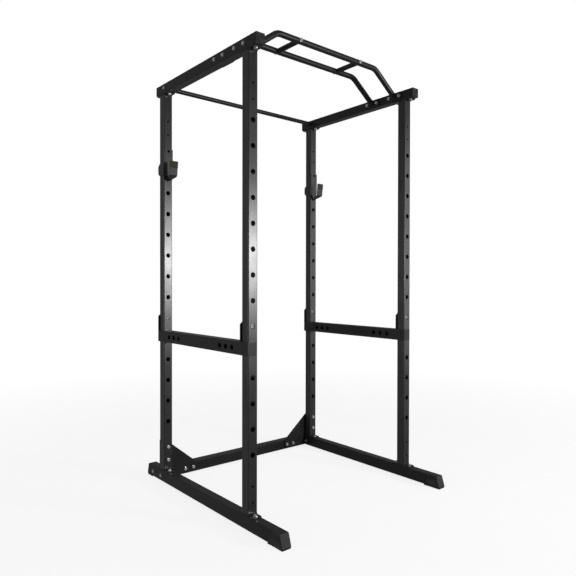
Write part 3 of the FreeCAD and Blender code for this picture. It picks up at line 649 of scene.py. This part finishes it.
@dataclass
class FootCaps(Assembly):
    """Moulded caps on the ends of the floor runners, with a sole that runs back under the tube."""

    sole: float = 5 * MM
    corner: float = 4 * MM
    groove: float = 0.7 * MM
    crease: float = 1.0 * MM
    tongue: float = 19 * MM
    ends: tuple[tuple[str, float, float, float], ...] = (
        ("front", -1.0, 81 * MM, 18 * MM), ("rear", 1.0, 37 * MM, 13 * MM),
    )

    def shell(self, name: str, outwards: float, length: float, slope: float) -> bpy.types.Object:
        """Loft one cap along Y.

        With d the distance from the seam to the tip, the top is the soft minimum
        of H and H - (H - t) (d - L + slope) / slope, the underside rises as
        t (d - L + 3) / 3 in the last 3 mm, and the shell is pinched by
        g exp(-((d - 1.8) / 0.6)^2) for the seam's groove.

        Args:
            name: Node that the cap stands for.
            outwards: -1 for the front, +1 for the rear.
            length: Length L from the seam to the tip.
            slope: How far the nose leans back at its top.

        Returns:
            The cap.
        """
        low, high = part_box(name)
        x = (low.x + high.x) / 2
        half = (high.x - low.x) / 2
        height = high.z - low.z
        seam = high.y - length if outwards > 0 else low.y + length
        behind = self.tongue
        toe = 2 * self.sole
        tongue = -behind + np.array([0.0, 0.4, 1.2]) * MM
        body = np.concatenate([
            np.linspace(0.02, 4.0, 12) * MM,
            np.linspace(6.0, (length - slope) / MM - 4.0, 6) * MM,
            length - slope + np.linspace(-3.0, 3.0, 9) * MM,
            np.linspace(length - slope + 4 * MM, length - 3.2 * MM, 6),
            length - np.array([3.0, 2.2, 1.4, 0.8, 0.4, 0.15]) * MM,
        ])
        d = np.concatenate([tongue, [0.0], body])
        flat = np.concatenate([np.ones(4, bool), np.zeros(len(body), bool)])
        ramp = height - (height - toe) * (d - length + slope) / slope
        soft = -self.crease * np.logaddexp(-height / self.crease, -ramp / self.crease)
        pinch = self.groove * np.exp(-(((d - 1.8 * MM) / (0.6 * MM)) ** 2))
        top = np.where(flat, self.sole, soft - pinch)
        under = toe * np.clip((d - length + 3 * MM) / (3 * MM), 0.0, 1.0) * 0.96
        end_round = np.where(flat, np.clip(1.0 * MM - (d + behind), 0.0, 1.0 * MM), 0.0)
        nose_round = 1.5 * MM * np.clip((d - length + 6 * MM) / (6 * MM), 0.0, 1.0) ** 2
        wide = half - end_round - nose_round - np.where(flat, 0.0, pinch)
        tall = np.maximum((top - under) / 2 - end_round * 0.8, 0.25 * MM)
        a, b = rounded_section(wide, tall, np.where(flat, 1.2 * MM, self.corner))
        points = np.stack([
            x + a,
            np.broadcast_to((seam + outwards * d)[:, None], a.shape),
            low.z + ((top + under) / 2)[:, None] + b,
        ], -1)
        return grid_mesh(name.replace("foot_cap", "moulded_foot_cap"), points)

    def build(self) -> None:
        """Make the four caps."""
        for side in ("left", "right"):
            for end, outwards, length, slope in self.ends:
                node = f"{side}_{end}_foot_cap"
                self.settle(self.shell(node, outwards, length, slope), "frame", Slot.PLASTIC, [node])


@dataclass
class RailCaps(Assembly):
    """Flat caps in both ends of the top rails, with a soft rim and a shallow dish."""

    thickness: float = 3 * MM
    corner: float = 4 * MM
    rim: float = 1.1 * MM
    dish: float = 0.7 * MM

    def lid(self, name: str, x: float, face: float, outwards: float, low_z: float, high_z: float) -> bpy.types.Object:
        """Loft one cap from its seam to the middle of its face.

        Over the rim the section shrinks as r (1 - cos q) while it moves out as
        r sin q, and the face sinks by the dish's depth times sin^2 of the way in.

        Args:
            name: Name of the piece.
            x: Middle of the rail.
            face: Y of the cap's outer face.
            outwards: Sign of the way out.
            low_z: Underside of the rail.
            high_z: Top of the rail.

        Returns:
            The cap.
        """
        half = (high_z - low_z) / 2
        q = np.linspace(0.0, math.pi / 2, 7)
        inwards = np.linspace(0.04, 0.92, 14)
        depth = np.concatenate([[0.0, 0.3 * MM, 0.6 * MM], self.thickness - self.rim + self.rim * np.sin(q),
                                self.thickness - self.dish * np.sin(np.clip(inwards * 4.0, 0, 1) * math.pi / 2) ** 2])
        size = np.concatenate([[half - 0.5 * MM, half - 0.5 * MM, half], half - self.rim * (1 - np.cos(q)),
                               (half - self.rim) * (1.0 - inwards)])
        radius = np.minimum(self.corner, size)
        a, b = rounded_section(size, size, radius)
        y = face - outwards * (self.thickness - depth)
        points = np.stack([x + a, np.broadcast_to(y[:, None], a.shape), (low_z + high_z) / 2 + b], -1)
        return grid_mesh(name, points)

    def build(self) -> None:
        """Make the four caps."""
        low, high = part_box("top_rail_caps")
        for side in ("left", "right"):
            rail_low, rail_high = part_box(f"{side}_top_rail")
            x = (rail_low.x + rail_high.x) / 2
            for end, face, outwards in (("front", low.y, -1.0), ("rear", high.y, 1.0)):
                piece = self.lid(f"{side}_{end}_rail_end_cap", x, face, outwards, rail_low.z, rail_high.z)
                self.settle(piece, "frame", Slot.PLASTIC, ["top_rail_caps"])


# ---------------------------------------------------------------- hooks and pins


@dataclass
class HookPads(Assembly):
    """Ribbed rubber sleeves over the leaning front lips of the J-hooks."""

    wall: float = 2 * MM
    corner: float = 3 * MM
    crown: float = 1.8 * MM
    lean: float = 8.0 / 75.0
    plain_edge: float = 4 * MM
    foot_round: float = 1.2 * MM
    rib_depth: float = 1.0 * MM

    def sleeve(self, side: str) -> bpy.types.Object:
        """Loft a sleeve down its outside, round its rim and up inside.

        Outside, the section is the pad's box less e(z) = rib (1 - cos(2 pi z / pitch)) / 2,
        and over the crown it shrinks as c (1 - cos q) while it rises as c sin q.
        The middle of the section moves back by lean for each step down.

        Args:
            side: left or right.

        Returns:
            The sleeve.
        """
        low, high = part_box(f"{side}_hook_pad")
        half_x, half_y = (high.x - low.x) / 2, (high.y - low.y - self.lean * (high.z - low.z)) / 2
        q = np.linspace(math.pi / 2, 0.0, 8)
        z_down = np.linspace(high.z - self.crown, low.z + self.foot_round, 46)[1:]
        from_crown = np.clip((high.z - self.crown - z_down) / self.plain_edge, 0.0, 1.0)
        fade = from_crown * np.clip((z_down - low.z) / self.plain_edge, 0.0, 1.0)
        rib = self.rib_depth * fade * (1 - np.cos(2 * math.pi * (z_down - low.z) / RIB_PITCH)) / 2
        p = np.linspace(0.0, math.pi / 2, 5)[1:]
        lip_top = high.z - self.wall
        z = np.concatenate([
            np.full(4, high.z), high.z - self.crown + self.crown * np.sin(q), z_down,
            low.z + self.foot_round * (1 - np.sin(p)), [low.z, low.z + 0.6 * MM, lip_top, lip_top],
        ])
        inset = np.concatenate([
            half_y * np.array([0.9, 0.75, 0.6, 0.45]), self.crown * (1 - np.cos(q)), rib,
            self.foot_round * (1 - np.cos(p)),
            self.wall + np.array([-0.5, 0.0, 0.0, 1.6]) * MM,
        ])
        a, b = rounded_section(half_x - inset, half_y - inset, np.full(len(z), self.corner))
        points = np.stack([
            (low.x + high.x) / 2 + a,
            low.y + half_y + self.lean * (high.z - z[:, None]) + b,
            np.broadcast_to(z[:, None], a.shape),
        ], -1)
        return grid_mesh(f"{side}_hook_rubber_sleeve", points)

    def build(self) -> None:
        """Make both sleeves."""
        for side in ("left", "right"):
            self.settle(self.sleeve(side), f"{side}_hook", Slot.RUBBER, [f"{side}_hook_pad"])


@dataclass
class LockingPins(Assembly):
    """Turned pins with a fluted knob, each on its own sliding body."""

    chamfer: float = 1.8 * MM
    shaft_radius: float = 12.1 * MM
    knob_thickness: float = 10 * MM
    flutes: int = 10
    flute_depth: float = 0.07

    def turned(
        self, name: str, x: float, z: float, along: np.ndarray, radius: np.ndarray, cut: np.ndarray
    ) -> bpy.types.Object:
        """Turn a profile round the pin's axis.

        r(y, t) = R(y) (1 - k(y) (1 + cos(n t)) / 2), with n flutes of depth k.

        Args:
            name: Name of the piece.
            x: X of the axis.
            z: Z of the axis.
            along: Places along Y.
            radius: Radius R at each place.
            cut: Flute depth k at each place.

        Returns:
            The turned piece.
        """
        t = np.linspace(0.0, 2 * math.pi, 80, endpoint=False)[None]
        r = radius[:, None] * (1.0 - cut[:, None] * (1.0 + np.cos(self.flutes * t)) / 2)
        points = np.stack([x + r * np.cos(t), np.broadcast_to(along[:, None], r.shape), z + r * np.sin(t)], -1)
        return grid_mesh(name, points)

    def build(self) -> None:
        """Make the four pins, each as a shaft and a knob."""
        for side in ("left", "right"):
            for end in ("front", "rear"):
                node = f"{side}_{end}_locking_pin"
                low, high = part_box(node)
                x, z = (low.x + high.x) / 2, (low.z + high.z) / 2
                knob_radius = (high.x - low.x) / 2
                seat = high.y - self.knob_thickness
                c = self.chamfer
                along = np.concatenate([
                    low.y + np.array([0.9, 0.9, 0.5, 0.0, 0.0, 0.3, 0.8, 1.3, 1.8, 2.6]) * MM,
                    np.linspace(low.y + 6 * MM, seat - 4 * MM, 8),
                    seat + np.array([-2.4, -2.0, 0.5]) * MM,
                ])
                radius = np.concatenate([
                    np.array([1.2, 2.4, 3.0, 3.6, 10.2, 10.7, 11.3, 11.75, 12.0, 12.1]) * MM,
                    np.full(8, self.shaft_radius), np.array([12.1, 11.4, 11.4]) * MM,
                ])
                shaft = self.turned(f"{node}_shaft", x, z, along, radius, np.zeros(len(along)))
                self.settle(shaft, node, Slot.PIN_STEEL, [node])
                q = np.linspace(0.0, math.pi / 2, 8)
                y = np.concatenate([
                    seat + c * (1 - np.cos(q)), np.linspace(seat + c + 0.4 * MM, high.y - c - 0.4 * MM, 6),
                    high.y - c * (1 - np.sin(q)), high.y - np.array([0.2, 0.9, 1.0, 1.0]) * MM,
                ])
                r = np.concatenate([
                    knob_radius - c * (1 - np.sin(q)), np.full(6, knob_radius),
                    knob_radius - c * (1 - np.cos(q)), np.array([10.8, 9.4, 6.0, 2.0]) * MM,
                ])
                cut = np.concatenate([np.full(8, self.flute_depth), np.full(6, self.flute_depth),
                                      self.flute_depth * np.cos(q) ** 0.5, np.zeros(4)])
                knob = self.turned(f"{node}_knob", x, z, y, r, cut)
                self.settle(knob, node, Slot.PLASTIC, [node])


# ---------------------------------------------------------------- welds


@dataclass
class WeldRuns(Assembly):
    """Painted fillet welds where the tubes, bars and hooks meet their plates."""

    radius: float = 2.6 * MM
    slim_radius: float = 2.2 * MM
    corner: float = 4 * MM
    bar_knee_x: float = 345 * MM
    root_half: float = 8 * MM
    root_wall: float = 6.4 * MM
    sunk: float = 0.4 * MM

    def tube_loop(self, centre: Sequence[float], axes: tuple[int, int], halves: tuple[float, float]) -> np.ndarray:
        """Rounded rectangle round a tube, at even steps of angle at each corner.

        Args:
            centre: Middle of the loop.
            axes: The two row axes that the loop lies along.
            halves: Half sizes along them.

        Returns:
            Points of shape (n, 3).
        """
        a, b = rounded_section(np.array([halves[0]]), np.array([halves[1]]), np.array([self.corner]))
        loop = np.tile(np.array(centre, float), (a.shape[1], 1))
        loop[:, axes[0]] += a[0]
        loop[:, axes[1]] += b[0]
        return loop

    def ellipse(self, centre: Sequence[float], half_y: float, half_z: float) -> np.ndarray:
        """Ellipse in a plane of constant X: (cos t, sin t) times its half sizes.

        Args:
            centre: Middle of the ellipse.
            half_y: Half size along Y.
            half_z: Half size along Z.

        Returns:
            Points of shape (n, 3).
        """
        t = np.linspace(0.0, 2 * math.pi, 96, endpoint=False)
        return np.array(centre, float) + np.stack([np.zeros_like(t), half_y * np.cos(t), half_z * np.sin(t)], -1)

    def post_welds(self) -> None:
        """Run a bead round the foot and the head of each upright."""
        for end in ("front", "rear"):
            for side in ("left", "right"):
                low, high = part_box(f"{end}_{side}_upright")
                middle = ((low.x + high.x) / 2, (low.y + high.y) / 2)
                halves = ((high.x - low.x) / 2, (high.y - low.y) / 2)
                for place, z in (("foot", low.z + 0.5 * MM), ("head", high.z - 0.5 * MM)):
                    loop = self.tube_loop((*middle, z), (0, 1), halves)
                    bead = weld_bead(f"{end}_{side}_upright_{place}_weld", loop, (0, 0, 1), self.radius)
                    self.settle(bead, "frame", Slot.POWDER)

    def bar_welds(self) -> None:
        """Run a bead round both ends of the pull-up bars, which meet their plates at a slant."""
        rail_low, rail_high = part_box("left_top_rail")
        z = (rail_low.z + rail_high.z) / 2
        for bar in ("front_pull_up_bar", "rear_pull_up_bar"):
            low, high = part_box(bar)
            y = (low.y + high.y) / 2
            r = (high.y - low.y) / 2
            rise = (high.z - r) - z
            run = high.x - self.bar_knee_x
            stretch = math.hypot(rise, run) / run
            for side, x in (("left", low.x + 0.5 * MM), ("right", high.x - 0.5 * MM)):
                bead = weld_bead(f"{bar}_{side}_weld", self.ellipse((x, y, z), r, r * stretch), (1, 0, 0), self.radius)
                self.settle(bead, "frame", Slot.POWDER)

    def base_welds(self) -> None:
        """Run a bead round both ends of the rear cross-member and of each safety rail's front."""
        low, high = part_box("rear_cross_member")
        middle = ((low.y + high.y) / 2, (low.z + high.z) / 2)
        halves = ((high.y - low.y) / 2, (high.z - low.z) / 2)
        for side, x in (("left", low.x + 0.5 * MM), ("right", high.x - 0.5 * MM)):
            loop = self.tube_loop((x, *middle), (1, 2), halves)
            loop[:, 2] = np.maximum(loop[:, 2], low.z + 1.5 * MM)
            self.settle(weld_bead(f"cross_member_{side}_weld", loop, (1, 0, 0), self.slim_radius), "frame", Slot.POWDER)
        for side in ("left", "right"):
            low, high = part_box(f"{side}_safety_rail_tube")
            loop = self.tube_loop(((low.x + high.x) / 2, low.y + 0.5 * MM, (low.z + high.z) / 2), (0, 2),
                                  ((high.x - low.x) / 2, (high.z - low.z) / 2))
            self.settle(weld_bead(f"{side}_safety_rail_weld", loop, (0, 1, 0), self.slim_radius), "frame", Slot.POWDER)

    def hook_welds(self) -> None:
        """Run straight beads round the root of each J-hook's seat, on the face of its back plate."""
        for side in ("left", "right"):
            body = f"{side}_hook"
            low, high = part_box(f"{side}_hook_cradle")
            x, y, top = (low.x + high.x) / 2, high.y - self.sunk, low.z + self.root_wall
            rows = (("seat", top + 0.2 * MM, self.root_half), ("foot", low.z - 0.2 * MM, 5 * MM))
            for name, z, half in rows:
                across = np.array([[x - half, y, z], [x + half, y, z]])
                bead = weld_bead(f"{side}_hook_{name}_weld", across, (0, 0, 1), 2.0 * MM, closed=False)
                self.settle(bead, body, Slot.POWDER)
            for name, edge in (("left", x - self.root_half), ("right", x + self.root_half)):
                down = np.array([[edge, y, low.z + 1 * MM], [edge, y, top]])
                bead = weld_bead(f"{side}_hook_{name}_flank_weld", down, (0, 1, 0), 1.8 * MM, closed=False)
                self.settle(bead, body, Slot.POWDER)

    def build(self) -> None:
        """Make every weld."""
        self.post_welds()
        self.bar_welds()
        self.base_welds()
        self.hook_welds()


# ---------------------------------------------------------------- studio


@dataclass(frozen=True)
class SoftBox:
    """A rectangular studio light that faces a point."""

    name: str
    place: tuple[float, float, float]
    aim: tuple[float, float, float]
    size: tuple[float, float]
    power: float
    shines: bool = True

    def hang(self) -> None:
        """Put the light in the scene."""
        light = bpy.data.lights.new(self.name, "AREA")
        light.shape = "RECTANGLE"
        light.size, light.size_y = self.size
        light.energy = self.power
        lamp = bpy.data.objects.new(self.name, light)
        lamp.location = self.place
        lamp.visible_glossy = self.shines
        way = np.array(self.aim) - np.array(self.place)
        flat = math.hypot(way[0], way[1])
        lamp.rotation_euler = (math.atan2(flat, -way[2]), 0.0, math.atan2(way[1], way[0]) - math.pi / 2)
        bpy.context.scene.collection.objects.link(lamp)


@dataclass
class Studio:
    """Pale floor, bright surroundings, soft boxes and the camera."""

    floor_radius: float = 14.0
    focal_length: float = 34.97
    camera_place: tuple[float, float, float] = (-2.0078, -2.3723, 1.1015)
    camera_turn: tuple[float, float, float] = (89.47, -0.09, -39.89)
    floor_glow: float = 0.84
    surroundings: float = 0.24
    boxes: tuple[SoftBox, ...] = (
        SoftBox("key_panel", (1.78, -4.0, 1.42), (-0.4, 0.0, 1.12), (0.75, 0.55), 118.0),
        SoftBox("wide_fill", (5.3, -4.2, 1.65), (0.2, 0.0, 1.35), (2.8, 3.4), 58.0),
        SoftBox("left_fill", (-5.2, 1.2, 1.1), (0.0, 0.4, 1.1), (3.2, 2.2), 78.0),
        SoftBox("overhead", (0.0, 0.0, 5.2), (0.0, 0.0, 0.0), (5.0, 5.0), 70.0, shines=False),
    )

    def floor(self) -> bpy.types.Object:
        """Lay a round floor, whose edge fades into the surroundings.

        Returns:
            The floor.
        """
        turn = np.linspace(0.0, 2 * math.pi, 96, endpoint=False)
        reach = np.array([0.6, 1.5, 3.0, 6.0, self.floor_radius])[:, None]
        points = np.stack([reach * np.cos(turn), reach * np.sin(turn), np.full((5, 96), -0.2 * MM)], -1)
        number = np.arange(5 * 96).reshape(5, 96)
        lower, upper = number[:-1], number[1:]
        quads = np.stack([lower, upper, np.roll(upper, -1, 1), np.roll(lower, -1, 1)], -1).reshape(-1, 4)
        mesh = bpy.data.meshes.new("studio_floor")
        mesh.from_pydata(points.reshape(-1, 3).tolist(), [], quads.tolist() + [number[0].tolist()])
        piece = bpy.data.objects.new("studio_floor", mesh)
        bpy.context.scene.collection.objects.link(piece)
        return piece

    def paint_floor(self, piece: bpy.types.Object) -> None:
        """Give the floor a pale matt paint that glows towards its edge.

        Args:
            piece: The floor.
        """
        s = Shader("pale_floor")
        away = s.add("ShaderNodeVectorMath", operation="LENGTH")
        s.join(s.place, away.inputs[0])
        paint = s.tint(s.noise(3.0, 3.0), (0.3, (0.90, 0.90, 0.90)), (0.7, (0.93, 0.93, 0.93)))
        s.join(paint, s.surface.inputs["Base Color"])
        s.fix(Roughness=0.85, Specular_IOR_Level=0.1)
        glow = s.add("ShaderNodeEmission")
        glow.inputs["Color"].default_value = (1.0, 1.0, 1.0, 1.0)
        blend = s.add("ShaderNodeMixShader")
        s.join(s.spread(away.outputs["Value"], self.floor_glow, 1.0, 1.6, 4.2), blend.inputs["Fac"])
        s.join(s.surface.outputs["BSDF"], blend.inputs[1])
        s.join(glow.outputs["Emission"], blend.inputs[2])
        output = next(n for n in s.tree.nodes if n.type == "OUTPUT_MATERIAL")
        s.join(blend.outputs["Shader"], output.inputs["Surface"])
        piece.data.materials.append(s.material)
        piece.visible_glossy = False
        piece.visible_diffuse = False

    def backdrop(self) -> None:
        """White surroundings behind the cage, dimmer as a source of light."""
        world = bpy.data.worlds.new("white_surroundings")
        bpy.context.scene.world = world
        world.use_nodes = True
        tree = world.node_tree
        seen = tree.nodes["Background"]
        seen.inputs["Color"].default_value = (1.0, 1.0, 1.0, 1.0)
        seen.inputs["Strength"].default_value = 1.0
        lit = tree.nodes.new("ShaderNodeBackground")
        lit.inputs["Color"].default_value = (1.0, 1.0, 1.0, 1.0)
        lit.inputs["Strength"].default_value = self.surroundings
        path = tree.nodes.new("ShaderNodeLightPath")
        blend = tree.nodes.new("ShaderNodeMixShader")
        tree.links.new(path.outputs["Is Camera Ray"], blend.inputs["Fac"])
        tree.links.new(lit.outputs["Background"], blend.inputs[1])
        tree.links.new(seen.outputs["Background"], blend.inputs[2])
        output = next(n for n in tree.nodes if n.type == "OUTPUT_WORLD")
        tree.links.new(blend.outputs["Shader"], output.inputs["Surface"])

    def camera(self) -> None:
        """Set the camera at standing chest height, off the left front corner."""
        lens = bpy.data.cameras.new("studio_camera")
        lens.sensor_width = 36.0
        lens.lens = self.focal_length
        lens.clip_end = 100.0
        camera = bpy.data.objects.new("studio_camera", lens)
        camera.location = self.camera_place
        camera.rotation_euler = tuple(math.radians(angle) for angle in self.camera_turn)
        bpy.context.scene.collection.objects.link(camera)
        bpy.context.scene.camera = camera

    def build(self) -> None:
        """Set up the studio."""
        self.backdrop()
        self.paint_floor(self.floor())
        for box in self.boxes:
            box.hang()
        self.camera()
        bpy.context.scene.view_settings.view_transform = "Standard"


def main() -> None:
    """Dress the frame, then build each sub-assembly and the studio."""
    logging.basicConfig(level=logging.INFO, format="%(message)s")
    shop = PaintShop()
    shop.open()
    LOG.info("dressed %d packed nodes", shop.dress_frame())
    for assembly in (FootCaps(shop), RailCaps(shop), HookPads(shop), LockingPins(shop), WeldRuns(shop)):
        assembly.build()
        assembly.report()
    Studio().build()


if __name__ == "__main__":
    main()
